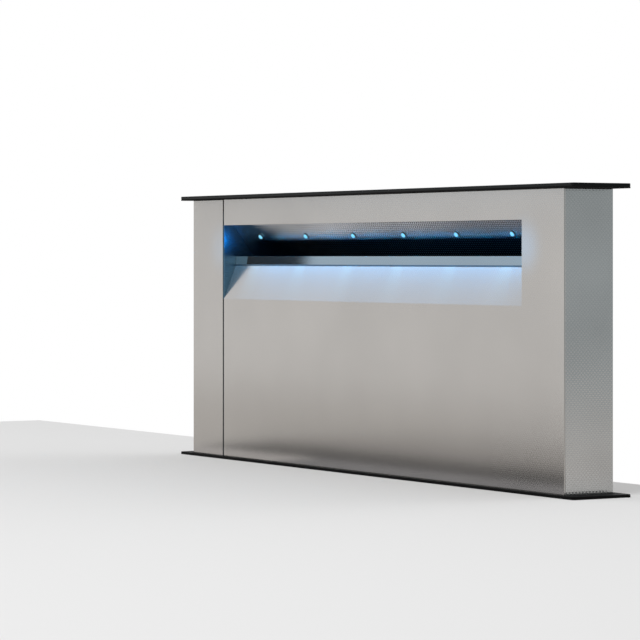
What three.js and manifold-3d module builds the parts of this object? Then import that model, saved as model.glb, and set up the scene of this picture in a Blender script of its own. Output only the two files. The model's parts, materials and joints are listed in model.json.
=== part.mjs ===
// Downdraft vent for a worktop: a slim steel riser with a slanted, lit air intake lifts out of a
// flat rim, pulls cooking air down through itself, and sinks back until its glass cap closes the rim.
// Millimetres. The origin is the centre of the rim's underside, which lies on the worktop:
// +X runs along the riser, +Y to its back and +Z up. The riser is shown fully raised.
import * as THREE from "three";
import { mergeVertices } from "three/addons/utils/BufferGeometryUtils.js";
import Module from "manifold-3d";

const wasm = await Module();
wasm.setup();

// ---- Driving dimensions ----

const rise = 338; // steel that shows between the rim and the cap when raised
const riserWidth = 848;
const riserDepth = 67;
const tail = 80; // length of riser that stays below the rim's top when raised
const skin = 1.5; // visible stainless panels
const sheet = 1.2; // inner and galvanised sheet
const seat = 0.3; // gap between pieces that rest on each other

const rimEnd = 26; // how far the rim, and the cap over it, reach past the riser's ends
const rimSide = 6.5; // and past its front and back
const rimThick = 3.4;
const rimRebate = 1.2; // step under the rim that sits over the chassis walls
const cornerRadius = 4; // plan corners of the cap and the rim
const wiperHeight = 9;
const wiperRun = 0.4; // wiper lip to riser

const glassThick = 4;
const carrierInset = 1.5; // edge of the glass to the plate under it
const carrierSkirt = 14;
const skirtInset = 4.8; // from the riser's inner face to the carrier's skirt
const skirtRun = 4;
const parkGap = 0.5; // cap above the rim when lowered

const stripWidth = 80; // narrow front panel on the left
const shadowGap = 3.5; // dark joint between the strip and the main front panel
const postReturn = 14;
const backLeg = 30;
const cornerLeg = 20;

const slotRightMargin = 81;
const slotDrop = 34; // cap's underside to the slot's top edge
const slotHeight = 97;
const slopeRise = 43.5; // height of the lower slope, from its fold to the lip
const slopeDepth = 16.8;
const lipHeight = 12.5;
const plateSetback = 13.6; // front face to the top of the slanted plate
const plateLean = 38; // degrees from vertical
const plateTab = 12;
const recessInset = 3; // duct wall behind the front face
const wallDrop = 2; // carrier's skirt to the duct walls

const lampCount = 6;
const lampMargin = 54.2; // slot's ends to the outer lamps
const lampDrop = 15; // slot's top edge to the lamps
const lampHoleRadius = 4;
const lampRim = 0.8;
const lampProud = 0.8;
const lampLength = 11;

const filterLength = 185;
const filterThick = 9;
const filterLean = 14; // degrees from vertical
const filterDrop = 150; // cap's underside to the top of the filters
const filterFrame = 12;
const filterRecess = 1.5;
const trayLip = 14;

const guideRoom = 14.8; // riser end to chassis end wall
const sideRun = 1.8; // riser face to chassis wall
const driveRoom = 45; // free height under the lowered riser
const floorThick = 2;
const channelLeg = 12;
const coverInset = 10; // chassis end to the belt cover

const shoeLength = 60;
const shoeWidth = 23.8;
const shoeRun = 0.5;
const shoeLift = 5;
const railRun = 2.5; // rail's lips to the riser's end

const screwRadius = 6;
const screwRun = 0.8;
const screwTop = 10; // screw end above the nut carrier when raised
const carrierHeight = 16;
const carrierDepth = 50;
const bearingSize = 40;
const bearingHeight = 16;
const journalRadius = 7.5;
const journalRun = 0.5;
const collarRadius = 11;
const collarHeight = 4;
const screwPulleyRadius = 14;
const motorPulleyRadius = 10;
const pulleyHeight = 10;
const pulleyDrop = 6; // floor's underside to the pulleys
const motorPulleyOffset = 18;
const motorShaftRadius = 4;
const shaftRun = 1.5; // motor shaft to the hole in the floor
const beltThick = 1.6;
const beltWidth = 8;
const beltRun = 0.3;
const beltCoverDepth = 24;

const gearboxLength = 60;
const gearboxDepth = 46;
const gearboxHeight = 30;
const gearboxRun = 2; // chassis wall to the gearbox
const liftMotorLift = 1; // gearbox's foot to the motor
const liftMotorRadius = 17;
const liftMotorLength = 90;

const blowerWidth = 380;
const blowerDepth = 180;
const blowerHeight = 330;
const blowerLift = 6; // chassis foot to the blower box
const blowerAxisX = 30;
const blowerAxisLift = 148; // blower box foot to the fan's axis
const impellerRadius = 95;
const impellerWidth = 110;
const impellerBore = 75; // inner radius of the blade ring
const impellerDisc = 3;
const bladeCount = 28;
const bladeSteps = 3;
const bladeSweep = 16; // degrees between a blade's inner and outer edge
const fanHubRadius = 24;
const fanHubLength = 18;
const fanShaftRadius = 6;
const fanShaftLength = 30;
const shaftEnd = 2; // shaft's end to the end of its bore
const fanRun = 6;
const motorRadius = 48;
const inletRadius = 72;
const inletRun = 2;
const bellRadius = 82;
const bellThick = 5;
const scrollWall = 2.5;
const scrollStart = 106;
const scrollEnd = 158;
const tongueAngle = 150; // degrees
const scrollSweep = 300;
const scrollSteps = 20;
const outletFloor = 20; // outlet's lower wall above the fan's axis

const collarBore = 73.5; // a duct of 150 mm slides over the collar
const collarWall = 1.5;
const collarLength = 84;
const collarFlange = 12;
const flapSetback = 9; // blower box wall to the flap pin
const flapRun = 1;
const flapThick = 1;
const pinRadius = 2;
const knuckleRadius = 4.2;
const knuckleRun = 0.5;
const knuckleHalf = 10;
const knuckleGap = 0.5;
const knuckleMargin = 10.875; // flap's tip to the outer knuckles

const boxWidth = 180;
const boxHeight = 130;
const boxDepth = 60;
const boxGap = 25; // blower box to electronics box
const boxLift = 140;
const boxWall = 2;
const boardThick = 1.6;
const boardMargin = 8;
const boardPost = 8;
const postRadius = 3;
const transformer = { width: 35, depth: 28, height: 30, margin: 20 };
const relay = { width: 35, depth: 14, height: 28, margin: 25 };
const glandRadius = 9;
const glandNut = 4; // nut's reach past the thread
const glandOut = 18;
const glandIn = 12;

const worktopThick = 40;
const bracketReach = 38;
const bracketDrop = 60;
const bracketDepth = 50;
const bracketThick = 2;
const legTop = 300; // worktop to the top of a leg
const legFoot = 560; // worktop to the sole of a leg
const legDepth = 40;
const legReach = 40;
const legThick = 2.5;
const legTravel = 120;
const legSlot = 7;
const legSlotDrop = 15;

const touchLength = 160;
const touchDepth = 40;
const touchThick = 4;
const touchMargin = 60;
const touchFrame = 6;
const driverSize = { width: 22, depth: 30, height: 70 };
const driverDrop = 24;

const past = 1; // how far a cutter passes the face it cuts
const sunk = 0.5; // how far joined shapes sink into each other

// ---- Places worked out from them ----

const degrees = Math.PI / 180;
const left = -1;
const right = 1;
const rimWidth = riserWidth + 2 * rimEnd;
const rimDepth = riserDepth + 2 * rimSide;
const capUnderside = rimThick + rise;
const travel = rise - parkGap;
const frontFace = -riserDepth / 2;
const rearFace = riserDepth / 2;
const frontInner = frontFace + skin;
const rearInner = rearFace - skin;
const leftFace = -riserWidth / 2;
const rightFace = riserWidth / 2;
const riserFoot = -(rise + tail); // below the cap's underside
const stripRight = leftFace + stripWidth;
const panelLeft = stripRight + shadowGap;
const slotRight = rightFace - slotRightMargin;
const slotTop = -slotDrop;
const slotBottom = slotTop - slotHeight;
const lipFace = frontFace + slopeDepth;
const lipBottom = slotBottom + slopeRise;
const plateTop = frontFace + plateSetback;
const wallRight = panelLeft - seat; // duct face of the left duct wall
const wallTop = -(carrierSkirt + wallDrop);
const columnRight = wallRight - sheet;

const chassisInnerDepth = riserDepth + 2 * sideRun;
const chassisFront = -chassisInnerDepth / 2 - sheet;
const chassisInnerWidth = riserWidth + 2 * guideRoom;
const chassisWidth = chassisInnerWidth + 2 * sheet;
const loweredFoot = capUnderside + riserFoot - travel;
const floorTop = loweredFoot - driveRoom;
const chassisFoot = floorTop - floorThick;
const wallsTop = rimRebate - seat;
const endTop = wallsTop - wiperHeight - seat;
const screwX = leftFace + stripWidth / 2 + skin; // middle of the left column
const screwXRight = (slotRight + sheet + rightFace) / 2;
const carrierFoot = capUnderside + riserFoot;

const blowerBack = chassisFront - seat;
const blowerFront = blowerBack - blowerDepth;
const blowerFoot = chassisFoot + blowerLift;
const fanAxisZ = blowerFoot + blowerAxisLift;
const blowerLeft = -blowerWidth / 2;
const scrollBack = blowerBack - sheet - seat;
const scrollMiddle = (scrollBack + blowerFront) / 2;
const impellerBack = scrollBack - bellThick - fanRun;
const impellerFront = impellerBack - impellerWidth;
const motorFace = impellerFront - fanRun;
const collarY = (blowerBack + blowerFront) / 2;
const collarZ = fanAxisZ + (outletFloor + scrollEnd) / 2;
const flapPinX = blowerLeft - seat - flapSetback;

// ---- Finishes ----

function finish(color, roughness, metalness) {
  return new THREE.MeshStandardMaterial({ color, roughness, metalness });
}

const brushedSteel = finish(0xb2aeaa, 0.38, 1);
const satinSteel = finish(0x9aa0a2, 0.3, 1);
const blackGlass = finish(0x08090a, 0.08, 0);
const blackEnamel = finish(0x141414, 0.35, 0.2);
const galvanised = finish(0x9ba0a3, 0.5, 0.9);
const zinc = finish(0x8d9092, 0.45, 0.9);
const screwSteel = finish(0x77797b, 0.3, 1);
const aluminium = finish(0xb9bcc0, 0.4, 0.9);
const rubber = finish(0x161616, 0.85, 0);
const blackPlastic = finish(0x1c1d1f, 0.55, 0);
const greyPlastic = finish(0x5c6064, 0.55, 0);
const whiteNylon = finish(0xdcdad2, 0.5, 0);
const greenBoard = finish(0x1f5a3a, 0.5, 0);
const lampGlass = finish(0xc8f2ff, 0.1, 0);

// ---- Shapes ----

const point = ([x, y]) => new THREE.Vector2(x, y);

function outline(points, holes = []) {
  const shape = new THREE.Shape(points.map(point));
  for (const hole of holes) shape.holes.push(new THREE.Path(hole.map(point)));
  return shape;
}

function rectangle(x0, y0, x1, y1) {
  return [[x0, y0], [x1, y0], [x1, y1], [x0, y1]];
}

function circle(radius, x = 0, y = 0, sides = 24) {
  return Array.from({ length: sides }, (_, side) => {
    const angle = (2 * Math.PI * side) / sides;
    return [x + radius * Math.cos(angle), y + radius * Math.sin(angle)];
  });
}

function roundedRectangle(width, depth, radius, steps = 4) {
  const points = [];
  for (let corner = 0; corner < 4; corner++) {
    const x = (corner === 0 || corner === 3 ? 1 : -1) * (width / 2 - radius);
    const y = (corner < 2 ? 1 : -1) * (depth / 2 - radius);
    for (let step = 0; step <= steps; step++) {
      const angle = (corner + step / steps) * 90 * degrees;
      points.push([x + radius * Math.cos(angle), y + radius * Math.sin(angle)]);
    }
  }
  return points;
}

// The line of points moved sideways by distance, to its left, with mitred corners.
function offsetLine(points, distance) {
  const normals = points.slice(1).map(([x, y], i) => {
    const [dx, dy] = [x - points[i][0], y - points[i][1]];
    const length = Math.hypot(dx, dy);
    return [-dy / length, dx / length];
  });
  return points.map(([x, y], i) => {
    const before = normals[Math.max(i - 1, 0)];
    const after = normals[Math.min(i, normals.length - 1)];
    const reach = distance / (1 + before[0] * after[0] + before[1] * after[1]);
    return [x + reach * (before[0] + after[0]), y + reach * (before[1] + after[1])];
  });
}

// A sheet folded along the points, its thickness to their left, or to their right when negative.
function folded(points, thickness) {
  return outline([...points, ...offsetLine(points, thickness).reverse()]);
}

function extruded(shape, from, to) {
  return new THREE.ExtrudeGeometry(shape, { depth: to - from, bevelEnabled: false });
}

// The outline lies in (x, y).
function prismZ(shape, from, to) {
  return extruded(shape, from, to).translate(0, 0, from);
}

// The outline lies in (y, z).
function prismX(shape, from, to) {
  const turn = new THREE.Matrix4().set(0, 0, 1, from, 1, 0, 0, 0, 0, 1, 0, 0, 0, 0, 0, 1);
  return extruded(shape, from, to).applyMatrix4(turn);
}

// The outline lies in (x, z).
function prismY(shape, from, to) {
  const turn = new THREE.Matrix4().set(1, 0, 0, 0, 0, 0, -1, to, 0, 1, 0, 0, 0, 0, 0, 1);
  return extruded(shape, from, to).applyMatrix4(turn);
}

function block(x0, x1, y0, y1, z0, z1) {
  const size = [Math.abs(x1 - x0), Math.abs(y1 - y0), Math.abs(z1 - z0)];
  return new THREE.BoxGeometry(...size).translate((x0 + x1) / 2, (y0 + y1) / 2, (z0 + z1) / 2);
}

// A profile of [radius, z] points turned about Z, listed from the bottom up.
function turned(profile, sides = 24) {
  return new THREE.LatheGeometry(profile.map(point), sides).rotateX(90 * degrees);
}

function toSolid(geometry) {
  const bare = geometry.clone();
  bare.deleteAttribute("normal");
  bare.deleteAttribute("uv");
  const merged = mergeVertices(bare, 1e-3);
  const corners = [];
  for (let i = 0; i < merged.index.count; i += 3) {
    const [a, b, c] = [0, 1, 2].map((k) => merged.index.getX(i + k));
    if (a !== b && b !== c && c !== a) corners.push(a, b, c);
  }
  const vertProperties = new Float32Array(merged.attributes.position.array);
  const triVerts = new Uint32Array(corners);
  return new wasm.Manifold(new wasm.Mesh({ numProp: 3, vertProperties, triVerts }));
}

function toGeometry(solid) {
  const mesh = solid.getMesh();
  const geometry = new THREE.BufferGeometry();
  geometry.setAttribute("position", new THREE.BufferAttribute(mesh.vertProperties, 3));
  geometry.setIndex(new THREE.BufferAttribute(mesh.triVerts, 1));
  geometry.computeVertexNormals();
  return geometry;
}

function joined(first, ...others) {
  return toGeometry(others.reduce((sum, other) => sum.add(toSolid(other)), toSolid(first)));
}

function cut(first, ...others) {
  return toGeometry(others.reduce((rest, other) => rest.subtract(toSolid(other)), toSolid(first)));
}

function piece(group, name, geometry, material) {
  const mesh = new THREE.Mesh(geometry, material);
  mesh.name = name;
  group.add(mesh);
  return mesh;
}

// A geometry on the left turned into its mirror image on the right.
function mirrored(geometry) {
  const solid = toSolid(geometry);
  return toGeometry(solid.mirror([1, 0, 0]));
}

const vent = new THREE.Group();
const chassis = new THREE.Group();
const riser = new THREE.Group();
riser.position.z = capUnderside;
vent.add(chassis, riser);

// ---- Rim and wiper ----

function addRim() {
  const openX = rightFace + sideRun;
  const openY = chassisInnerDepth / 2;
  const opening = rectangle(-openX, -openY, openX, openY);
  const ring = outline(roundedRectangle(rimWidth, rimDepth, cornerRadius), [opening]);
  const seatX = chassisWidth / 2 + seat;
  const seatY = -chassisFront + seat;
  const rebate = block(-seatX, seatX, -seatY, seatY, -past, rimRebate);
  piece(chassis, "rim_frame", cut(prismZ(ring, 0, rimThick), rebate), blackEnamel);

  const outerX = chassisWidth / 2;
  const outerY = chassisInnerDepth / 2 - seat;
  const innerX = rightFace + wiperRun;
  const innerY = rearFace + wiperRun;
  const lip = outline(rectangle(-outerX, -outerY, outerX, outerY), [
    rectangle(-innerX, -innerY, innerX, innerY),
  ]);
  piece(chassis, "wiper_seal", prismZ(lip, wallsTop - wiperHeight, wallsTop), rubber);
}

// ---- Chassis ----

function addChassis() {
  const wall = rectangle(-chassisWidth / 2, chassisFoot, chassisWidth / 2, wallsTop);
  const inlet = circle(inletRadius + inletRun, blowerAxisX, fanAxisZ, 32);
  const front = prismY(outline(wall, [inlet]), chassisFront, chassisFront + sheet);
  piece(chassis, "chassis_front", front, galvanised);
  const rear = prismY(outline(wall), -chassisFront - sheet, -chassisFront);
  piece(chassis, "chassis_rear", rear, galvanised);

  const legY = chassisInnerDepth / 2 - seat;
  const innerX = -chassisInnerWidth / 2;
  const channel = folded(
    [
      [innerX + channelLeg, legY],
      [innerX - sheet, legY],
      [innerX - sheet, -legY],
      [innerX + channelLeg, -legY],
    ],
    sheet,
  );
  const end = prismZ(channel, chassisFoot, endTop);
  piece(chassis, "chassis_end_left", end, galvanised);
  piece(chassis, "chassis_end_right", mirrored(end), galvanised);

  // The floor is notched at its corners for the channels' legs.
  const floorX = -innerX - seat;
  const legX = -innerX - channelLeg - seat;
  const innerY = legY - sheet - seat;
  const plate = outline(
    [
      [-floorX, -innerY], [-legX, -innerY], [-legX, -legY],
      [legX, -legY], [legX, -innerY], [floorX, -innerY],
      [floorX, innerY], [legX, innerY], [legX, legY],
      [-legX, legY], [-legX, innerY], [-floorX, innerY],
    ],
    [
      circle(journalRadius + journalRun, screwX),
      circle(journalRadius + journalRun, screwXRight),
      circle(motorShaftRadius + shaftRun, 0, -motorPulleyOffset),
    ],
  );
  piece(chassis, "chassis_floor", prismZ(plate, chassisFoot, floorTop), galvanised);

  const coverTop = chassisFoot - seat;
  const coverFoot = coverTop - beltCoverDepth;
  const coverX = chassisWidth / 2 - coverInset;
  const roomX = coverX - sheet;
  const roomY = legY - sheet;
  const tray = cut(
    block(-coverX, coverX, -legY, legY, coverFoot, coverTop),
    block(-roomX, roomX, -roomY, roomY, coverFoot + sheet, coverTop + past),
  );
  piece(chassis, "belt_cover", tray, galvanised);
}

// ---- Guides ----

function addGuides() {
  const railBack = -chassisInnerWidth / 2 + seat;
  const railHalf = shoeWidth / 2 + shoeRun;
  const railTip = leftFace - railRun;
  const channel = folded(
    [
      [railTip, railHalf + sheet],
      [railBack, railHalf + sheet],
      [railBack, -railHalf - sheet],
      [railTip, -railHalf - sheet],
    ],
    sheet,
  );
  const rail = prismZ(channel, floorTop + seat, endTop);
  piece(chassis, "guide_rail_left", rail, zinc);
  piece(chassis, "guide_rail_right", mirrored(rail), zinc);

  const shoe = block(
    railBack + sheet + seat, leftFace - seat, -shoeWidth / 2, shoeWidth / 2,
    riserFoot + shoeLift, riserFoot + shoeLift + shoeLength,
  );
  piece(riser, "guide_shoe_left", shoe, whiteNylon);
  piece(riser, "guide_shoe_right", mirrored(shoe), whiteNylon);
}

// ---- Fixing to the worktop and the cabinet ----

function addFixings() {
  const wallX = -chassisWidth / 2 - seat;
  const angle = folded(
    [
      [wallX, -worktopThick - bracketDrop],
      [wallX, -worktopThick - seat],
      [wallX - bracketReach, -worktopThick - seat],
    ],
    bracketThick,
  );
  const bracket = prismY(angle, -bracketDepth / 2, bracketDepth / 2);
  piece(chassis, "worktop_bracket_left", bracket, zinc);
  piece(chassis, "worktop_bracket_right", mirrored(bracket), zinc);

  const plateTopZ = -legTop;
  const soleZ = -legFoot;
  const slotTopZ = plateTopZ - legSlotDrop;
  const slotFootZ = slotTopZ - legTravel - legSlot;
  const plate = outline(rectangle(-legDepth / 2, soleZ, legDepth / 2, plateTopZ));
  const slots = [left, right].map((side) => {
    const middle = (side * legDepth) / 4;
    const slot = rectangle(middle - legSlot / 2, slotFootZ, middle + legSlot / 2, slotTopZ);
    return prismX(outline(slot), wallX - legThick - past, wallX + past);
  });
  const leg = joined(
    cut(prismX(plate, wallX - legThick, wallX), ...slots),
    block(wallX - legReach, wallX, -legDepth / 2, legDepth / 2, soleZ, soleZ + legThick),
  );
  piece(chassis, "support_leg_left", leg, zinc);
  piece(chassis, "support_leg_right", mirrored(leg), zinc);
}

// ---- Lift drive ----

// The points of all the circles that a tight loop round them touches, in order.
function loopRound(circles, extra) {
  const points = circles.flatMap(({ x, y, radius }) => circle(radius + extra, x, y, 32));
  points.sort((a, b) => a[0] - b[0] || a[1] - b[1]);
  const turnsLeft = ([ax, ay], [bx, by], [cx, cy]) =>
    (bx - ax) * (cy - ay) - (by - ay) * (cx - ax) > 1e-6;
  const half = (list) => {
    const chain = [];
    for (const next of list) {
      while (chain.length > 1 && !turnsLeft(chain.at(-2), chain.at(-1), next)) chain.pop();
      chain.push(next);
    }
    return chain.slice(0, -1);
  };
  return [...half(points), ...half([...points].reverse())];
}

function addLiftDrive() {
  const pulleyTop = chassisFoot - pulleyDrop;
  const pulleyFoot = pulleyTop - pulleyHeight;
  const journalTop = floorTop + seat + bearingHeight + seat;
  const screwEnd = carrierFoot + carrierHeight + screwTop;
  const screw = turned([
    [0, pulleyFoot],
    [screwPulleyRadius, pulleyFoot],
    [screwPulleyRadius, pulleyTop],
    [journalRadius, pulleyTop],
    [journalRadius, journalTop],
    [collarRadius, journalTop],
    [collarRadius, journalTop + collarHeight],
    [screwRadius, journalTop + collarHeight],
    [screwRadius, screwEnd],
    [0, screwEnd],
  ]);
  const bearing = prismZ(
    outline(
      rectangle(-bearingSize / 2, -bearingSize / 2, bearingSize / 2, bearingSize / 2),
      [circle(journalRadius + journalRun)],
    ),
    floorTop + seat,
    floorTop + seat + bearingHeight,
  );
  for (const [side, x] of [["left", screwX], ["right", screwXRight]]) {
    piece(chassis, "lead_screw_" + side, screw, screwSteel).position.x = x;
    piece(chassis, "screw_bearing_" + side, bearing, blackPlastic).position.x = x;
  }

  const gearboxFoot = floorTop + seat;
  const shaftTop = gearboxFoot + gearboxHeight / 2;
  const motorPulley = turned([
    [0, pulleyFoot],
    [motorPulleyRadius, pulleyFoot],
    [motorPulleyRadius, pulleyTop],
    [motorShaftRadius, pulleyTop],
    [motorShaftRadius, shaftTop],
    [0, shaftTop],
  ]);
  piece(chassis, "motor_pulley", motorPulley, aluminium).position.y = -motorPulleyOffset;

  const gearboxFront = -chassisInnerDepth / 2 + gearboxRun;
  const gearboxBack = gearboxFront + gearboxDepth;
  const gearboxTop = gearboxFoot + gearboxHeight;
  const canX = gearboxLength / 2;
  const canY = (gearboxFront + gearboxBack) / 2;
  const canZ = gearboxFoot + liftMotorLift + liftMotorRadius;
  const shaftHole = circle(motorShaftRadius + journalRun, 0, -motorPulleyOffset);
  const gearmotor = cut(
    joined(
      block(-canX, canX, gearboxFront, gearboxBack, gearboxFoot, gearboxTop),
      prismX(outline(circle(liftMotorRadius, canY, canZ)), canX - past, canX + liftMotorLength),
    ),
    prismZ(outline(shaftHole), gearboxFoot - past, shaftTop + seat),
  );
  piece(chassis, "lift_gearmotor", gearmotor, zinc);

  const pulleys = [
    { x: screwX, y: 0, radius: screwPulleyRadius },
    { x: screwXRight, y: 0, radius: screwPulleyRadius },
    { x: 0, y: -motorPulleyOffset, radius: motorPulleyRadius },
  ];
  const beltMiddle = (pulleyFoot + pulleyTop) / 2;
  const belt = outline(loopRound(pulleys, beltRun + beltThick), [loopRound(pulleys, beltRun)]);
  const beltFoot = beltMiddle - beltWidth / 2;
  piece(chassis, "drive_belt", prismZ(belt, beltFoot, beltFoot + beltWidth), rubber);
}

// ---- Blower ----

// The inner line of the scroll about the fan's axis, from the outlet's floor round to its roof.
function scrollLine() {
  const outletX = blowerLeft + sheet + seat - blowerAxisX;
  const line = [[outletX, outletFloor]];
  for (let step = 0; step <= scrollSteps; step++) {
    const share = step / scrollSteps;
    const radius = scrollStart + (scrollEnd - scrollStart) * share;
    const angle = (tongueAngle + scrollSweep * share) * degrees;
    line.push([radius * Math.cos(angle), radius * Math.sin(angle)]);
  }
  line.push([outletX, scrollEnd]);
  return line;
}

function addBlower() {
  const blowerTop = blowerFoot + blowerHeight;
  const blowerRight = -blowerLeft;
  const inlet = outline(circle(inletRadius + inletRun, blowerAxisX, fanAxisZ, 32));
  const outlet = outline(circle(collarBore, collarY, collarZ, 32));
  const box = cut(
    block(blowerLeft, blowerRight, blowerFront, blowerBack, blowerFoot, blowerTop),
    block(
      blowerLeft + sheet, blowerRight - sheet, blowerFront - past, blowerBack - sheet,
      blowerFoot + sheet, blowerTop - sheet,
    ),
    prismY(inlet, blowerBack - 2 * sheet, blowerBack + past),
    prismX(outlet, blowerLeft - past, blowerLeft + 2 * sheet),
  );
  piece(chassis, "blower_box", box, galvanised);
  const cover = outline(rectangle(blowerLeft, blowerFoot, blowerRight, blowerTop));
  const coverFront = blowerFront - seat - sheet;
  piece(chassis, "blower_cover", prismY(cover, coverFront, coverFront + sheet), galvanised);

  const line = scrollLine();
  const outer = outline(offsetLine(line, -scrollWall));
  const wall = folded(line, -scrollWall);
  const eye = circle(bellRadius, 0, 0, 32);
  const rearPlate = outline(offsetLine(line, -scrollWall), [eye]);
  const rearHalf = joined(
    prismY(wall, scrollMiddle + seat / 2, scrollBack),
    prismY(rearPlate, scrollBack - scrollWall, scrollBack),
  );
  const frontHalf = joined(
    prismY(wall, blowerFront, scrollMiddle - seat / 2),
    prismY(outer, blowerFront, blowerFront + scrollWall),
  );
  for (const [name, half] of [["scroll_rear", rearHalf], ["scroll_front", frontHalf]]) {
    piece(chassis, name, half, blackPlastic).position.set(blowerAxisX, 0, fanAxisZ);
  }

  const bell = prismY(
    outline(circle(bellRadius - seat, 0, 0, 32), [circle(inletRadius, 0, 0, 32)]),
    scrollBack - bellThick,
    scrollBack,
  );
  piece(chassis, "inlet_ring", bell, greyPlastic).position.set(blowerAxisX, 0, fanAxisZ);

  const blades = Array.from({ length: bladeCount }, (_, blade) => {
    const edge = [];
    for (let step = 0; step <= bladeSteps; step++) {
      const share = step / bladeSteps;
      const radius = impellerBore + past + (impellerRadius - impellerBore - 2 * past) * share;
      const angle = 2 * Math.PI * (blade / bladeCount) + bladeSweep * share * share * degrees;
      edge.push([radius * Math.cos(angle), radius * Math.sin(angle)]);
    }
    return prismY(folded(edge, sheet), impellerFront + past, impellerBack - past);
  });
  const shroud = outline(circle(impellerRadius, 0, 0, 36), [circle(impellerBore, 0, 0, 36)]);
  const shaft = outline(circle(fanShaftRadius, 0, 0, 16));
  const shaftFront = motorFace - fanShaftLength;
  const impeller = joined(
    prismY(outline(circle(impellerRadius, 0, 0, 36)), impellerFront, impellerFront + impellerDisc),
    prismY(shroud, impellerBack - impellerDisc, impellerBack),
    prismY(outline(circle(fanHubRadius)), impellerFront + past, impellerFront + fanHubLength),
    prismY(shaft, shaftFront, impellerFront + past),
    ...blades,
  );
  piece(chassis, "impeller", impeller, greyPlastic).position.set(blowerAxisX, 0, fanAxisZ);

  const motor = cut(
    prismY(outline(circle(motorRadius, 0, 0, 32)), blowerFront + scrollWall + seat, motorFace),
    prismY(outline(circle(fanShaftRadius + journalRun)), shaftFront - shaftEnd, motorFace + past),
  );
  piece(chassis, "blower_motor", motor, zinc).position.set(blowerAxisX, 0, fanAxisZ);
}

// ---- Duct collar and its two non-return flaps ----

function addOutlet() {
  const flangeX = -seat - collarWall;
  const ring = (radius, bore) => outline(circle(radius, 0, 0, 32), [circle(bore, 0, 0, 32)]);
  const collarOuter = collarBore + collarWall;
  const pin = outline(circle(pinRadius, -flapSetback - seat, 0, 12));
  const collar = joined(
    prismX(ring(collarOuter + collarFlange, collarBore), flangeX, -seat),
    prismX(ring(collarOuter, collarBore), -seat - collarLength, flangeX + sunk),
    prismZ(pin, -collarBore - collarWall / 2, collarBore + collarWall / 2),
  );
  piece(chassis, "outlet_collar", collar, galvanised).position.set(blowerLeft, collarY, collarZ);

  // Each flap is half a disc with knuckles on the shared pin: one in the middle or one at each end.
  const flapRadius = collarBore - flapRun;
  const halfDisc = Array.from({ length: 17 }, (_, step) => {
    const angle = (step / 16 - 0.5) * Math.PI;
    return [flapRadius * Math.cos(angle), flapRadius * Math.sin(angle)];
  });
  const pinHole = circle(pinRadius + knuckleRun, 0, 0, 16);
  const knuckle = (from, to) =>
    prismZ(outline(circle(knuckleRadius, 0, 0, 16), [pinHole]), from, to);
  const knuckleEnd = flapRadius - knuckleMargin;
  const notch = outline(circle(knuckleRadius + knuckleRun, 0, 0, 16));
  const flap = (side, knuckles, gaps) => {
    const half = outline(halfDisc.map(([y, z]) => [side * y, z]));
    const plate = prismX(half, -flapThick / 2, flapThick / 2);
    const bore = prismZ(outline(pinHole), -flapRadius, flapRadius);
    const notches = gaps.map(([from, to]) => prismZ(notch, from, to));
    return joined(cut(plate, bore, ...notches), ...knuckles.map(([from, to]) => knuckle(from, to)));
  };
  const middle = [[-knuckleHalf, knuckleHalf]];
  const inner = knuckleHalf + knuckleGap;
  const ends = [[inner, knuckleEnd], [-knuckleEnd, -inner]];
  const middleGap = [[-inner, inner]];
  const endGaps = [[knuckleHalf, flapRadius], [-flapRadius, -knuckleHalf]];
  const place = [flapPinX, collarY, collarZ];
  piece(chassis, "flap_front", flap(-1, middle, endGaps), aluminium).position.set(...place);
  piece(chassis, "flap_rear", flap(1, ends, middleGap), aluminium).position.set(...place);
}

// ---- Electronics ----

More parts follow.
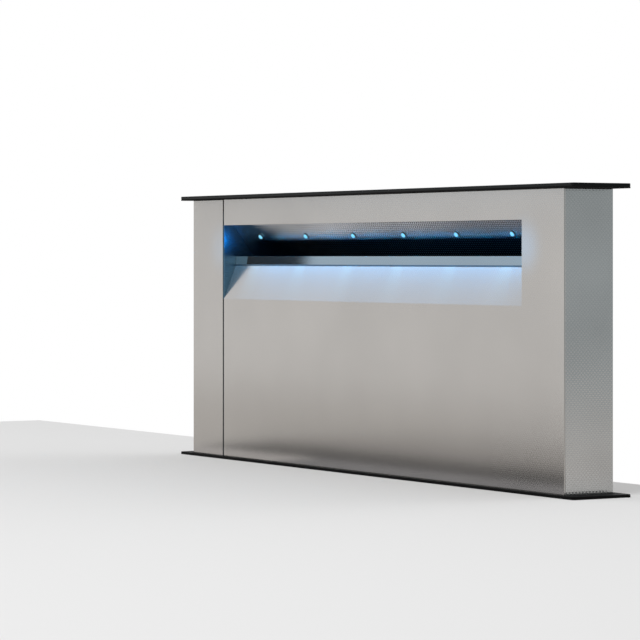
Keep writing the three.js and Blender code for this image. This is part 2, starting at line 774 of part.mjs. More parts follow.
function addElectronics() {
  const boxLeft = -blowerLeft + boxGap;
  const boxRight = boxLeft + boxWidth;
  const boxFoot = blowerFoot + boxLift;
  const boxTop = boxFoot + boxHeight;
  const boxFront = blowerBack - boxDepth;
  const glandX = (boxLeft + boxRight) / 2;
  const glandY = (blowerBack + boxFront) / 2;
  const tray = cut(
    block(boxLeft, boxRight, boxFront, blowerBack, boxFoot, boxTop),
    block(
      boxLeft + boxWall, boxRight - boxWall, boxFront - past, blowerBack - boxWall,
      boxFoot + boxWall, boxTop - boxWall,
    ),
    prismZ(outline(circle(glandRadius + seat, glandX, glandY)), boxFoot - past, boxFoot + boxWall + past),
  );
  piece(chassis, "electronics_box", tray, blackPlastic);
  const lid = outline(rectangle(boxLeft, boxFoot, boxRight, boxTop));
  const lidFront = boxFront - seat - boxWall;
  piece(chassis, "electronics_lid", prismY(lid, lidFront, lidFront + boxWall), blackPlastic);

  const boardBack = blowerBack - boxWall - seat - boardPost;
  const boardFront = boardBack - boardThick;
  const boardLeft = boxLeft + boxWall + boardMargin;
  const boardRight = boxRight - boxWall - boardMargin;
  const boardFoot = boxFoot + boxWall + 3 * boardMargin;
  const boardTop = boxTop - boxWall - boardMargin;
  const boardMiddle = (boardFoot + boardTop) / 2;
  const posts = [boardLeft + boardMargin, boardRight - boardMargin].flatMap((x) =>
    [boardFoot + boardMargin, boardTop - boardMargin].map((z) =>
      prismY(outline(circle(postRadius, x, z, 12)), boardBack - sunk, boardBack + boardPost),
    ),
  );
  const onBoard = (x, { width, depth, height }) => {
    const foot = boardMiddle - height / 2;
    return block(x, x + width, boardFront - depth, boardBack - sunk, foot, foot + height);
  };
  const board = joined(
    prismY(outline(rectangle(boardLeft, boardFoot, boardRight, boardTop)), boardFront, boardBack),
    ...posts,
    onBoard(boardLeft + transformer.margin, transformer),
    onBoard(boardRight - relay.margin - relay.width, relay),
  );
  piece(chassis, "control_board", board, greenBoard);

  const gland = turned([
    [glandRadius / 2, -glandOut],
    [glandRadius, -glandOut],
    [glandRadius + glandNut, glandNut - glandOut],
    [glandRadius + glandNut, -seat],
    [glandRadius, -seat],
    [glandRadius, glandIn],
    [glandRadius / 2, glandIn],
    [glandRadius / 2, -glandOut],
  ], 16);
  piece(chassis, "mains_gland", gland, blackPlastic).position.set(glandX, glandY, boxFoot);
}

// ---- Riser panels ----

function addRiserPanels() {
  const top = -seat;
  const post = folded(
    [
      [stripRight, frontFace + postReturn],
      [stripRight, frontFace],
      [leftFace, frontFace],
      [leftFace, rearFace],
      [leftFace + backLeg, rearFace],
    ],
    -skin,
  );
  piece(riser, "left_post", prismZ(post, riserFoot, top), brushedSteel);

  const corner = folded(
    [
      [rightFace - cornerLeg, frontInner + seat],
      [rightFace, frontInner + seat],
      [rightFace, rearFace],
      [rightFace - backLeg, rearFace],
    ],
    skin,
  );
  piece(riser, "right_end_panel", prismZ(corner, riserFoot, top), satinSteel);

  // The front panel is cut out for the slot, and folds back into the lower slope and its lip.
  const face = outline([
    [panelLeft, riserFoot], [rightFace, riserFoot], [rightFace, top], [panelLeft, top],
    [panelLeft, slotTop], [slotRight, slotTop], [slotRight, slotBottom], [panelLeft, slotBottom],
  ]);
  const slope = folded(
    [[frontFace, slotBottom], [lipFace, lipBottom], [lipFace, lipBottom + lipHeight]],
    -skin,
  );
  const front = joined(
    prismY(face, frontFace, frontInner),
    prismX(slope, panelLeft, slotRight - seat),
  );
  piece(riser, "front_panel", front, brushedSteel);

  const rearLeft = leftFace + backLeg + seat;
  const rearRight = rightFace - backLeg - seat;
  const rear = outline(rectangle(rearLeft, riserFoot, rearRight, top));
  piece(riser, "rear_panel", prismY(rear, rearInner, rearFace), brushedSteel);

  const flange = postReturn;
  const wallBack = rearInner - seat;
  const wallLeft = folded(
    [
      [wallRight, frontFace + recessInset],
      [wallRight, wallBack],
      [wallRight - flange, wallBack],
    ],
    sheet,
  );
  piece(riser, "duct_wall_left", prismZ(wallLeft, riserFoot, wallTop), satinSteel);
  const wallRightSide = folded(
    [
      [slotRight, frontInner + seat],
      [slotRight, wallBack],
      [slotRight + flange, wallBack],
    ],
    -sheet,
  );
  piece(riser, "duct_wall_right", prismZ(wallRightSide, riserFoot, wallTop), satinSteel);
}

// ---- Slanted intake plate and its lamps ----

function addIntake() {
  const lean = plateLean * degrees;
  const plateBack = rearInner - seat - sheet;
  const plateFoot = slotTop - (plateBack - plateTop) / Math.tan(lean);
  const profile = folded(
    [
      [frontInner + seat, slotTop + slotDrop - carrierSkirt],
      [frontInner + seat, slotTop],
      [plateTop, slotTop],
      [plateBack, plateFoot],
      [plateBack, plateFoot - plateTab],
    ],
    sheet,
  );
  const lampY = plateTop + lampDrop * Math.tan(lean);
  const lampZ = slotTop - lampDrop;
  const lampPitch = (slotRight - panelLeft - 2 * lampMargin) / (lampCount - 1);
  const lampX = Array.from({ length: lampCount }, (_, i) => slotRight - lampMargin - i * lampPitch);
  const facing = 90 * degrees + lean;
  const holePlan = outline(circle(lampHoleRadius + seat, 0, 0, 16));
  const hole = prismZ(holePlan, -2 * sheet, 2 * sheet).rotateX(facing);
  const plate = cut(
    prismX(profile, panelLeft, slotRight - seat),
    ...lampX.map((x) => hole.clone().translate(x, lampY, lampZ)),
  );
  piece(riser, "intake_plate", plate, satinSteel);

  const lamp = turned([
    [0, -lampLength],
    [lampHoleRadius, -lampLength],
    [lampHoleRadius, seat],
    [lampHoleRadius + lampRim + seat, seat],
    [lampHoleRadius + lampRim, seat + lampProud],
    [0, seat + lampProud],
  ], 16);
  lampX.forEach((x, i) => {
    const mesh = piece(riser, "lamp_" + (i + 1), lamp, lampGlass);
    mesh.position.set(x, lampY, lampZ);
    mesh.rotation.x = facing;
  });

  const driverRight = columnRight - seat;
  const { width, depth, height } = driverSize;
  const driverTop = wallTop - driverDrop;
  const driver = block(
    driverRight - width, driverRight, -depth / 2, depth / 2, driverTop - height, driverTop,
  );
  piece(riser, "lamp_driver", driver, blackPlastic);
}

// ---- Grease filters and drip tray ----

function addFilters() {
  const lean = filterLean * degrees;
  const rest = rearInner - seat;
  const footY = rest - seat - filterLength * Math.sin(lean) - (filterThick / 2) * Math.cos(lean);
  const footZ = -filterDrop - filterLength * Math.cos(lean);
  const ductLeft = wallRight + seat;
  const ductRight = slotRight - seat;
  const width = (ductRight - ductLeft - seat) / 2;
  const opening = [filterFrame, filterFrame, width - filterFrame, filterLength - filterFrame];
  const half = filterThick / 2;
  const mesh = half - filterRecess;
  const filter = joined(
    prismY(outline(rectangle(0, 0, width, filterLength), [rectangle(...opening)]), -half, half),
    block(
      filterFrame - past, width - filterFrame + past, -mesh, mesh,
      filterFrame - past, filterLength - filterFrame + past,
    ),
  );
  [["left", ductLeft], ["right", ductLeft + width + seat]].forEach(([side, x]) => {
    const panel = piece(riser, "grease_filter_" + side, filter, aluminium);
    panel.position.set(x, footY, footZ);
    panel.rotation.x = -lean;
  });

  const trayTop = footZ - half * Math.sin(lean) - seat;
  const trayFloor = trayTop - sheet;
  const trayBack = footY + half * Math.cos(lean) + trayLip * Math.tan(lean) + seat + sheet;
  const trayFront = frontInner + seat;
  const tray = folded(
    [
      [trayFront, trayFloor + trayLip],
      [trayFront, trayFloor],
      [trayBack, trayFloor],
      [trayBack, trayFloor + trayLip],
    ],
    sheet,
  );
  piece(riser, "drip_tray", prismX(tray, ductLeft, ductRight), satinSteel);
}

// ---- Nut carriers at the foot of the two columns ----

function addNutCarriers() {
  const columns = [
    ["left", leftFace + skin + seat, stripRight - skin - seat, screwX],
    ["right", slotRight + sheet + seat, rightFace - skin - seat, screwXRight],
  ];
  for (const [side, from, to, x] of columns) {
    const plan = outline(rectangle(from, -carrierDepth / 2, to, carrierDepth / 2), [
      circle(screwRadius + screwRun, x, 0),
    ]);
    piece(riser, "nut_carrier_" + side, prismZ(plan, riserFoot, riserFoot + carrierHeight), zinc);
  }
}

// ---- Cap ----

function addCap() {
  const touchLeft = rightFace - touchMargin - touchLength;
  const touchRight = touchLeft + touchLength;
  const touchWindow = rectangle(
    touchLeft + touchFrame, -touchDepth / 2 + touchFrame,
    touchRight - touchFrame, touchDepth / 2 - touchFrame,
  );
  const plateX = rimWidth - 2 * carrierInset;
  const plateY = rimDepth - 2 * carrierInset;
  const edge = roundedRectangle(plateX, plateY, cornerRadius - carrierInset);
  const plate = outline(edge, [touchWindow]);
  const skirtRight = rightFace - cornerLeg - skirtRun;
  const skirtY = rearInner - skirtInset;
  const carrier = joined(
    prismZ(plate, 0, sheet),
    block(panelLeft, skirtRight, -skirtY, -skirtY + sheet, -carrierSkirt, sunk),
    block(panelLeft, skirtRight, skirtY - sheet, skirtY, -carrierSkirt, sunk),
  );
  piece(riser, "cap_carrier", carrier, blackEnamel);
  const glassPlan = outline(roundedRectangle(rimWidth, rimDepth, cornerRadius));
  const glass = prismZ(glassPlan, sheet + seat, sheet + seat + glassThick);
  piece(riser, "cap_glass", glass, blackGlass);
  const touch = block(
    touchLeft, touchRight, -touchDepth / 2, touchDepth / 2, -seat - touchThick, -seat,
  );
  piece(riser, "touch_board", touch, greenBoard);
}

addRim();
addChassis();
addGuides();
addFixings();
addLiftDrive();
addBlower();
addOutlet();
addElectronics();
addRiserPanels();
addIntake();
addFilters();
addNutCarriers();
addCap();

export default vent;
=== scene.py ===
"""Looks of a worktop downdraft vent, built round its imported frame.

Metres, with the frame's axes: +X along the riser, +Y to its back, +Z up, and the worktop at z = 0.
"""

import json
import math
import random

import bmesh
import bpy
from mathutils import Matrix, Vector

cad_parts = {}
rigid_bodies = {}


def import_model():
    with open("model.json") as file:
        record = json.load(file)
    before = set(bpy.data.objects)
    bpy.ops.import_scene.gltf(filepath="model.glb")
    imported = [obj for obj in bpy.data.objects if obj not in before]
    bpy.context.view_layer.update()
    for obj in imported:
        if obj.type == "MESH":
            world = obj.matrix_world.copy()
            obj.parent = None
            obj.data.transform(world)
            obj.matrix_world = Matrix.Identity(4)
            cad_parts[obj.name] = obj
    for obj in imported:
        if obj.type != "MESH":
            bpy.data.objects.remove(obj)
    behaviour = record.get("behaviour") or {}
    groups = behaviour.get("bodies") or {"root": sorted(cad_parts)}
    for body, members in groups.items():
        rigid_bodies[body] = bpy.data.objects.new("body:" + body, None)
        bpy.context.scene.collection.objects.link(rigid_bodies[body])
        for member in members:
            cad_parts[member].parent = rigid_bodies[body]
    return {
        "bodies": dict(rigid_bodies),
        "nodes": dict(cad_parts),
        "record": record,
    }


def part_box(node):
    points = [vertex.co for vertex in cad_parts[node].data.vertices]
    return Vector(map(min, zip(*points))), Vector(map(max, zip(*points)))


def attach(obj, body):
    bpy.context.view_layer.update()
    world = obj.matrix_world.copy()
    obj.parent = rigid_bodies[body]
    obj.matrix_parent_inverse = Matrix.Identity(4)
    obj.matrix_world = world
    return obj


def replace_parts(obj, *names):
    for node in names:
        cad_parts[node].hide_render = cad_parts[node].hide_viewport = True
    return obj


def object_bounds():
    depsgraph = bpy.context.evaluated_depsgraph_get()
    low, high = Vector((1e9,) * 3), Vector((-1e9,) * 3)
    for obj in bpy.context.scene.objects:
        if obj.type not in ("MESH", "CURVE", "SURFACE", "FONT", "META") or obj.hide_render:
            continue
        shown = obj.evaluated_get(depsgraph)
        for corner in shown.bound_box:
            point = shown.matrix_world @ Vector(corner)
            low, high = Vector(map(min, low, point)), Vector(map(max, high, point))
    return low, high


MM = 0.001
MICRON = 0.001 * MM
LEG_REACH = 120 * MM
FRONT, BACK, DOWN = (0, -1, 0), (0, 1, 0), (0, 0, -1)
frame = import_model()
cad_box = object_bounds()
BODY_OF = {
    node: body
    for body, members in frame["record"]["behaviour"]["bodies"].items()
    for node in members
}
RISER = frame["bodies"]["riser"]


# ---- Materials ----


class Recipe:
    """A Principled material, with short calls for the nodes that give it detail."""

    MIX_FACTOR, MIX_DARK, MIX_PALE, MIX_RESULT = 0, 6, 7, 2  # colour sockets of a Mix node

    def __init__(self, name, color, roughness, metallic=0.0):
        self.material = bpy.data.materials.new(name)
        self.material.use_nodes = True
        self.tree = self.material.node_tree
        self.shader = self.tree.nodes["Principled BSDF"]
        self.color, self.roughness = color, roughness
        self.set("Base Color", (*color, 1))
        self.set("Roughness", roughness)
        self.set("Metallic", metallic)
        self.place = self.node("ShaderNodeTexCoord").outputs["Object"]

    def feed(self, node, socket, value):
        """A plain value, or another node's output, into one input of a node."""
        if isinstance(value, bpy.types.NodeSocket):
            self.tree.links.new(value, node.inputs[socket])
        else:
            node.inputs[socket].default_value = value

    def set(self, socket, value):
        self.feed(self.shader, socket, value)

    def node(self, kind, inputs=None, **settings):
        made = self.tree.nodes.new(kind)
        for key, value in settings.items():
            setattr(made, key, value)
        for socket, value in (inputs or {}).items():
            self.feed(made, socket, value)
        return made

    def math(self, operation, *values):
        return self.node("ShaderNodeMath", dict(enumerate(values)), operation=operation).outputs[0]

    def noise(self, scale, detail=3.0, stretch=(1, 1, 1)):
        """Noise from 0 to 1, with scale grains to the metre."""
        place = self.node("ShaderNodeMapping", {"Vector": self.place, "Scale": stretch})
        inputs = {"Vector": place.outputs[0], "Scale": scale, "Detail": detail}
        return self.node("ShaderNodeTexNoise", inputs).outputs["Fac"]

    def between(self, factor, low, high):
        """From low to high over the middle of factor, where noise mostly lies."""
        inputs = {"Value": factor, "From Min": 0.3, "From Max": 0.7, "To Min": low, "To Max": high}
        return self.node("ShaderNodeMapRange", inputs).outputs[0]

    def tint(self, factor, spread):
        """The base colour, darker and lighter by spread where factor is low and high."""
        dark, pale = ([c * (1 + side * spread) for c in self.color] for side in (-1, 1))
        share = self.between(factor, 0, 1)
        inputs = {self.MIX_FACTOR: share, self.MIX_DARK: (*dark, 1), self.MIX_PALE: (*pale, 1)}
        mix = self.node("ShaderNodeMix", inputs, data_type="RGBA")
        self.set("Base Color", mix.outputs[self.MIX_RESULT])

    def gloss(self, factor, spread):
        """The roughness, lower and higher by spread where factor is low and high."""
        low, high = self.roughness * (1 - spread), self.roughness * (1 + spread)
        self.set("Roughness", self.between(factor, low, high))

    def bump(self, *layers):
        """Layers of (height, depth in metres), one over another."""
        normal = None
        for height, depth in layers:
            inputs = {"Height": height, "Distance": depth, "Strength": 1.0}
            if normal is not None:
                inputs["Normal"] = normal
            normal = self.node("ShaderNodeBump", inputs).outputs[0]
        self.set("Normal", normal)

    def linen(self, pitch):
        """Height of the rolled linen pattern: staggered dots on any upright face."""
        x, y, z = self.node("ShaderNodeSeparateXYZ", {0: self.place}).outputs
        turn = 2 * math.pi / pitch
        row_depth = 0.35
        across = self.math("COSINE", self.math("MULTIPLY", self.math("ADD", x, y), turn))
        upward = self.math("COSINE", self.math("MULTIPLY", z, turn))
        rows = self.math("COSINE", self.math("MULTIPLY", z, 2 * turn))
        return self.math("MULTIPLY_ADD", across, upward, self.math("MULTIPLY", rows, row_depth))


def rolled_steel(name, color, roughness, depth, contrast, metallic=1.0):
    """Stainless sheet with a rolled linen pattern, depth deep, and a faint brushed grain."""
    steel = Recipe(name, color, roughness, metallic)
    grain = steel.noise(90, 4, (1, 1, 60))
    grain_depth = min(4 * MICRON, depth)
    dots = steel.linen(4.6 * MM)
    cloud = steel.math("MULTIPLY_ADD", dots, 0.12, steel.noise(7, 2))
    steel.tint(cloud, contrast)
    steel.gloss(grain, 0.12)
    steel.bump((grain, grain_depth), (dots, depth))
    return steel.material


def spangled(name, color, roughness, cell):
    """Galvanised sheet with its large crystals, each about a cell wide."""
    zinc = Recipe(name, color, roughness, 0.9)
    inputs = {"Vector": zinc.place, "Scale": 1 / cell, "Randomness": 1.0}
    crystals = zinc.node("ShaderNodeTexVoronoi", inputs)
    tone = zinc.node("ShaderNodeSeparateColor", {0: crystals.outputs["Color"]}).outputs[0]
    zinc.tint(tone, 0.05)
    zinc.gloss(tone, 0.14)
    zinc.bump((zinc.noise(300), 30 * MICRON))
    return zinc.material


def grained(name, color, roughness, metallic, scale, depth):
    """Moulded, cast, plated or painted surfaces: a fine skin with slight cloudiness."""
    coat = Recipe(name, color, roughness, metallic)
    cloud = coat.noise(scale / 12, 3)
    coat.tint(cloud, 0.06)
    coat.gloss(cloud, 0.12)
    coat.bump((coat.noise(scale, 4), depth))
    return coat.material


def polished_glass(name):
    """Black glass with a weak mirror image and faint smears."""
    glass = Recipe(name, (0.004, 0.005, 0.005), 0.1)
    glass.set("IOR", 1.18)
    glass.gloss(glass.noise(14, 5), 0.5)
    return glass.material


def lamp_glow(name):
    """A lit lens, brightest where it faces the eye."""
    lens = Recipe(name, (0.12, 0.4, 0.55), 0.15)
    brightest, fall = 1.0, 0.8
    facing = lens.node("ShaderNodeLayerWeight", {"Blend": 0.35}).outputs["Facing"]
    lens.set("Emission Color", (0.2, 0.6, 0.85, 1))
    lens.set("Emission Strength", lens.math("SUBTRACT", brightest, lens.math("MULTIPLY", facing, fall)))
    return lens.material


def traced_board(name):
    """Green solder mask over copper tracks, which stand a little proud."""
    board = Recipe(name, (0.02, 0.16, 0.07), 0.4)
    inputs = {"Vector": board.place, "Scale": 260.0, "Mortar Size": 0.03, "Bias": 0.2}
    tracks = board.node("ShaderNodeTexBrick", inputs).outputs["Fac"]
    board.tint(board.noise(160, 2), 0.25)
    board.bump((tracks, 40 * MICRON))
    return board.material


def woven_mesh(name):
    """Layers of fine aluminium wire."""
    wire = Recipe(name, (0.52, 0.53, 0.55), 0.36, 1.0)
    wire.tint(wire.noise(30, 2), 0.1)
    wire.bump((wire.linen(2.4 * MM), 300 * MICRON))
    return wire.material


GRAINED = {  # colour, roughness, metallic, grains to the metre, depth of the grain
    "black_enamel": ((0.01, 0.01, 0.01), 0.85, 0.0, 1500, 20 * MICRON),
    "zinc": ((0.38, 0.4, 0.41), 0.36, 0.95, 900, 30 * MICRON),
    "screw_steel": ((0.3, 0.3, 0.31), 0.28, 1.0, 1200, 20 * MICRON),
    "pulley_aluminium": ((0.55, 0.56, 0.58), 0.32, 1.0, 1400, 20 * MICRON),
    "rubber": ((0.014, 0.014, 0.015), 0.75, 0.0, 700, 60 * MICRON),
    "black_plastic": ((0.02, 0.021, 0.023), 0.5, 0.0, 1600, 50 * MICRON),
    "grey_plastic": ((0.12, 0.13, 0.14), 0.5, 0.0, 1600, 50 * MICRON),
    "white_nylon": ((0.72, 0.71, 0.66), 0.45, 0.0, 900, 30 * MICRON),
}
ROLLED = {  # colour, roughness, depth of the pattern, its contrast, metallic
    "brushed_steel": ((0.45, 0.432, 0.41), 0.17, 6 * MICRON, 0.04, 0.9),
    "satin_steel": ((0.47, 0.465, 0.455), 0.15, 20 * MICRON, 0.1, 0.92),
}
FINISH = {name: rolled_steel(name, *look) for name, look in ROLLED.items()}
FINISH.update({name: grained(name, *look) for name, look in GRAINED.items()})
FINISH["black_glass"] = polished_glass("black_glass")
FINISH["galvanised"] = spangled("galvanised", (0.36, 0.38, 0.4), 0.4, 7 * MM)
FINISH["filter_aluminium"] = woven_mesh("filter_aluminium")
FINISH["circuit_board"] = traced_board("circuit_board")
FINISH["lamp_lens"] = lamp_glow("lamp_lens")

# Looks of single pieces and faces, besides the slots' own.
mirror_steel = rolled_steel("mirror_steel", (0.45, 0.46, 0.48), 0.07, 70 * MICRON, 0.2)
# Dark blue steel for the duct walls: painted blue lamp glow over painted shade of the recess.
painted_blue_glow_steel = rolled_steel("painted_blue_glow_steel", (0.12, 0.25, 0.36), 0.3, 10 * MICRON, 0.05)
lip_steel = rolled_steel("lip_steel", (0.44, 0.43, 0.41), 0.035, 1 * MICRON, 0.03, 0.95)
# Dark bluish steel that paints the shade in the groove along the lip's foot.
groove_painted_shade = rolled_steel("groove_painted_shade", (0.07, 0.11, 0.14), 0.3, 2 * MICRON, 0.03, 0.9)
matt_black = grained("matt_black", (0.004, 0.004, 0.004), 0.6, 0.0, 900, 20 * MICRON)
for black in (matt_black, FINISH["black_enamel"]):
    black.node_tree.nodes["Principled BSDF"].inputs["IOR"].default_value = 1.12  # mirrors little


# ---- Shapes ----


def added(name, mesh, body, finish):
    """A bmesh made into a piece that rides on a body.

    The finish is a slot's name, or a material of the piece's own.
    """
    data = bpy.data.meshes.new(name)
    mesh.to_mesh(data)
    mesh.free()
    piece = bpy.data.objects.new(name, data)
    bpy.context.scene.collection.objects.link(piece)
    in_slot = isinstance(finish, str)
    data.materials.append(FINISH[finish] if in_slot else finish)
    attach(piece, body)
    return piece


def shade(mesh, angle):
    """Smooth faces, with edges sharper than angle left hard."""
    limit = math.radians(angle)
    for face in mesh.faces:
        face.smooth = True
    for edge in mesh.edges:
        edge.smooth = edge.is_manifold and edge.calc_face_angle(0) < limit


def even_normals(piece):
    """Keeps flat faces flat where they meet rounded edges."""
    modifier = piece.modifiers.new("even", "WEIGHTED_NORMAL")
    modifier.keep_sharp = True
    return piece


def rounded(mesh, width, segments, angle):
    """Rounds the edges that are sharper than angle."""
    limit = math.radians(angle)
    sharp = [e for e in mesh.edges if e.is_manifold and e.calc_face_angle(0) > limit]
    bmesh.ops.bevel(
        mesh, geom=sharp, offset=width, segments=segments, affect="EDGES", profile=0.5, clamp_overlap=True
    )


def refined(node, finish, width, segments=2, angle=18, change=None):
    """The shape of a CAD node with its edges rounded, which then stands for it."""
    mesh = bmesh.new()
    mesh.from_mesh(frame["nodes"][node].data)
    bmesh.ops.remove_doubles(mesh, verts=mesh.verts, dist=2 * MICRON)
    if change:
        change(mesh)
        mesh.normal_update()
    flat = math.radians(0.4)
    bmesh.ops.dissolve_limit(mesh, angle_limit=flat, verts=mesh.verts, edges=mesh.edges)
    rounded(mesh, width, segments, angle)
    shade(mesh, angle)
    piece = added(node + "_shell", mesh, BODY_OF[node], finish)
    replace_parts(piece, node)
    return even_normals(piece)


def ring(mesh, radius, height, sides, turn):
    """A ring of vertices about turn's Z; the radius is a length, or a function of angle and height."""
    points = []
    for side in range(sides):
        angle = 2 * math.pi * side / sides
        reach = radius(angle, height) if callable(radius) else radius
        point = Vector((reach * math.cos(angle), reach * math.sin(angle), height))
        points.append(mesh.verts.new(turn @ point))
    return points


def skin(mesh, rings, close_start=True, close_end=True):
    """Faces between following rings of equal count, and over the ends."""
    for lower, upper in zip(rings, rings[1:]):
        for i, vertex in enumerate(lower):
            j = (i + 1) % len(lower)
            mesh.faces.new((vertex, lower[j], upper[j], upper[i]))
    if close_start:
        mesh.faces.new(list(reversed(rings[0])))
    if close_end:
        mesh.faces.new(rings[-1])


def lathe(mesh, profile, sides, turn, unit=1.0):
    """A profile of (radius, height) pairs in units, turned about turn's Z, from the bottom up."""
    skin(mesh, [ring(mesh, unit * radius, unit * height, sides, turn) for radius, height in profile])


def along(place, direction):
    """A matrix whose Z points along direction from place."""
    return Matrix.Translation(place) @ Vector(direction).to_track_quat("Z", "Y").to_matrix().to_4x4()


def upright(center):
    """A matrix whose Z is the vertical through center, with heights as they are."""
    return Matrix.Translation((center.x, center.y, 0))


def looped(items):
    """Each item with the one after it, and the last with the first."""
    return list(zip(items, items[1:] + items[:1]))


def screw_head(mesh, place, direction, radius, spin=0.0):
    """A pan head with a cross recess."""
    height = 0.62 * radius
    turn = along(place, direction) @ Matrix.Rotation(spin, 4, "Z")
    profile = [(1, 0), (1, 0.25), (0.9, 0.68), (0.72, 0.93)]
    rings = [ring(mesh, r * radius, z * height, 24, turn) for r, z in profile]
    skin(mesh, rings, close_end=False)
    arm, half = 0.5 * radius, 0.12 * radius
    cross = []
    for quarter in range(4):
        angle = quarter * math.pi / 2
        cosine, sine = math.cos(angle), math.sin(angle)
        for x, y in ((arm, -half), (arm, half), (half, half)):
            cross.append((x * cosine - y * sine, x * sine + y * cosine))
    mouth = [mesh.verts.new(turn @ Vector((x, y, height))) for x, y in cross]
    floor = [mesh.verts.new(turn @ Vector((0.7 * x, 0.7 * y, 0.45 * height))) for x, y in cross]
    edges = [mesh.edges.new(pair) for pair in looped(mouth)]
    rim = [mesh.edges.get(pair) for pair in looped(rings[-1])]
    bmesh.ops.bridge_loops(mesh, edges=edges + rim)
    for (a, b), (c, d) in zip(looped(mouth), looped(floor)):
        mesh.faces.new((a, b, d, c))
    mesh.faces.new(floor)


def rivet_head(mesh, place, direction, radius):
    """A pop rivet: a low dome with the hollow that its pin leaves."""
    profile = [(1, 0), (1, 0.12), (0.86, 0.27), (0.6, 0.34), (0.4, 0.34), (0.34, 0.2), (0.02, 0.16)]
    lathe(mesh, profile, 20, along(place, direction), radius)


def hex_bolt(mesh, place, direction, radius):
    """A hex head on a washer."""
    turn = along(place, direction)
    lathe(mesh, [(1.5, 0), (1.5, 0.22), (1.42, 0.28)], 28, turn, radius)
    lathe(mesh, [(0.98, 0.28), (1.0, 0.36), (1.0, 1.0), (0.93, 1.1), (0.6, 1.12)], 6, turn, radius)


def flush_rivet(mesh, place, direction, radius):
    """A rivet sunk into the sheet, almost level with it."""
    lathe(mesh, [(1, 0), (0.97, 0.05), (0.5, 0.07), (0.42, 0.02)], 24, along(place, direction), radius)


def swages(name, body, finish, runs, half=5 * MM):
    """Long pressed ribs with round ends, each from one point to another on a face that looks out."""
    mesh = bmesh.new()
    sides, height = 24, 1 * MM
    profile = [(1, -0.1), (0.94, 0.2), (0.8, 0.6), (0.55, 0.9), (0.25, 1)]
    for start, end, out in runs:
        start, end, out = Vector(start), Vector(end), Vector(out)
        ahead = (end - start).normalized()
        aside = out.cross(ahead)
        rings = []
        for share, rise in profile:
            points = []
            for side in range(sides):
                angle = 2 * math.pi * (side + 0.5) / sides
                turned = ahead * math.cos(angle) + aside * math.sin(angle)
                tip = end if math.cos(angle) > 0 else start
                points.append(mesh.verts.new(tip + turned * half * share + out * rise * height))
            rings.append(points)
        skin(mesh, rings)
    bmesh.ops.recalc_face_normals(mesh, faces=mesh.faces)
    shade(mesh, 50)
    return added(name, mesh, body, finish)


RIB_ARCH = [(-1, -0.1), (-0.8, 0.5), (-0.4, 0.9), (0, 1), (0.4, 0.9), (0.8, 0.5), (1, -0.1)]


def round_rib(mesh, profile, turn):
    """A closed profile of (radius, height) pairs turned about turn's Z."""
    rings = [ring(mesh, radius, height, 64, turn) for radius, height in profile]
    skin(mesh, rings + rings[:1], False, False)


def rolled_bead(mesh, turn, radius, half, height):
    """A bead rolled outward round a tube along turn's Z."""
    round_rib(mesh, [(radius + height * rise, half * aside) for aside, rise in RIB_ARCH], turn)


def pressed_ring(mesh, turn, radius, half, height):
    """A round rib pressed up from a face across turn's Z."""
    round_rib(mesh, [(radius + half * aside, height * rise) for aside, rise in RIB_ARCH], turn)


def fasteners(name, body, finish, kind, places, direction, radius):
    """Heads of one kind at several places, as one piece; screws are turned at random."""
    mesh = bmesh.new()
    spin = random.Random(name)
    for place in places:
        if kind is screw_head:
            screw_head(mesh, Vector(place), direction, radius, spin=spin.uniform(0, math.pi))
        else:
            kind(mesh, Vector(place), direction, radius)
    bmesh.ops.recalc_face_normals(mesh, faces=mesh.faces)
    shade(mesh, 40)
    return added(name, mesh, body, finish)


def spaced(low, high, count):
    """Evenly spaced values from low to high, with both ends."""
    return [low + (high - low) * i / (count - 1) for i in range(count)]


# ---- Riser ----


SLOPE_FRONT = -25 * MM  # the lip and the lower slope lie behind this
GROOVE = 256 * MM  # height of the groove along the lip's foot


def cut_level(mesh, height):
    """Cuts faces along a level plane, so that each side of it can move alone."""
    parts = mesh.verts[:] + mesh.edges[:] + mesh.faces[:]
    bmesh.ops.bisect_plane(mesh, geom=parts, plane_co=(0, 0, height), plane_no=(0, 0, 1))


def lean_lip(mesh):
    """Leans the lip over the lower slope slightly back, with a fine groove along its foot."""
    lean, groove_depth, half_length = 1.5 * MM, 0.5 * MM, 345 * MM
    edge_foot, edge_top = 262 * MM, 268 * MM
    cut_level(mesh, GROOVE)
    for vertex in mesh.verts:
        place = vertex.co
        if place.y < SLOPE_FRONT or abs(place.x) > half_length:
            continue
        if edge_foot < place.z < edge_top:
            place.y += lean
        elif abs(place.z - GROOVE) < 0.1 * MM:
            place.y += groove_depth


def reach_forward(mesh):
    """Brings the duct wall's edge forward in the slot, where it closes the slot's end."""
    foot, top, bend = 210.4 * MM, 307.4 * MM, 0.5 * MM
    edge_behind, reach = -30 * MM, -33.2 * MM
    for height in (foot - bend, foot, top, top + bend):
        cut_level(mesh, height)
    for vertex in mesh.verts:
        if vertex.co.y < edge_behind and foot - bend / 2 < vertex.co.z < top + bend / 2:
            vertex.co.y = reach


def dress_front(front):
    """A bright lip, painted shade in the groove along its foot, and damping film on the inside."""
    lip, film, groove = 1, 2, 3
    lip_foot, lip_top, lip_half = 253.9 * MM, 266.6 * MM, 343 * MM
    for look in (lip_steel, matt_black, groove_painted_shade):
        front.data.materials.append(look)
    for face in front.data.polygons:
        middle = face.center
        in_length = abs(middle.x) < lip_half and middle.y > SLOPE_FRONT
        if face.normal.y > 0.5:
            face.material_index = film
        elif in_length and lip_foot < middle.z < lip_top:
            # the groove's faces take the painted shade
            face.material_index = groove if middle.z < GROOVE - 0.2 * MM else lip


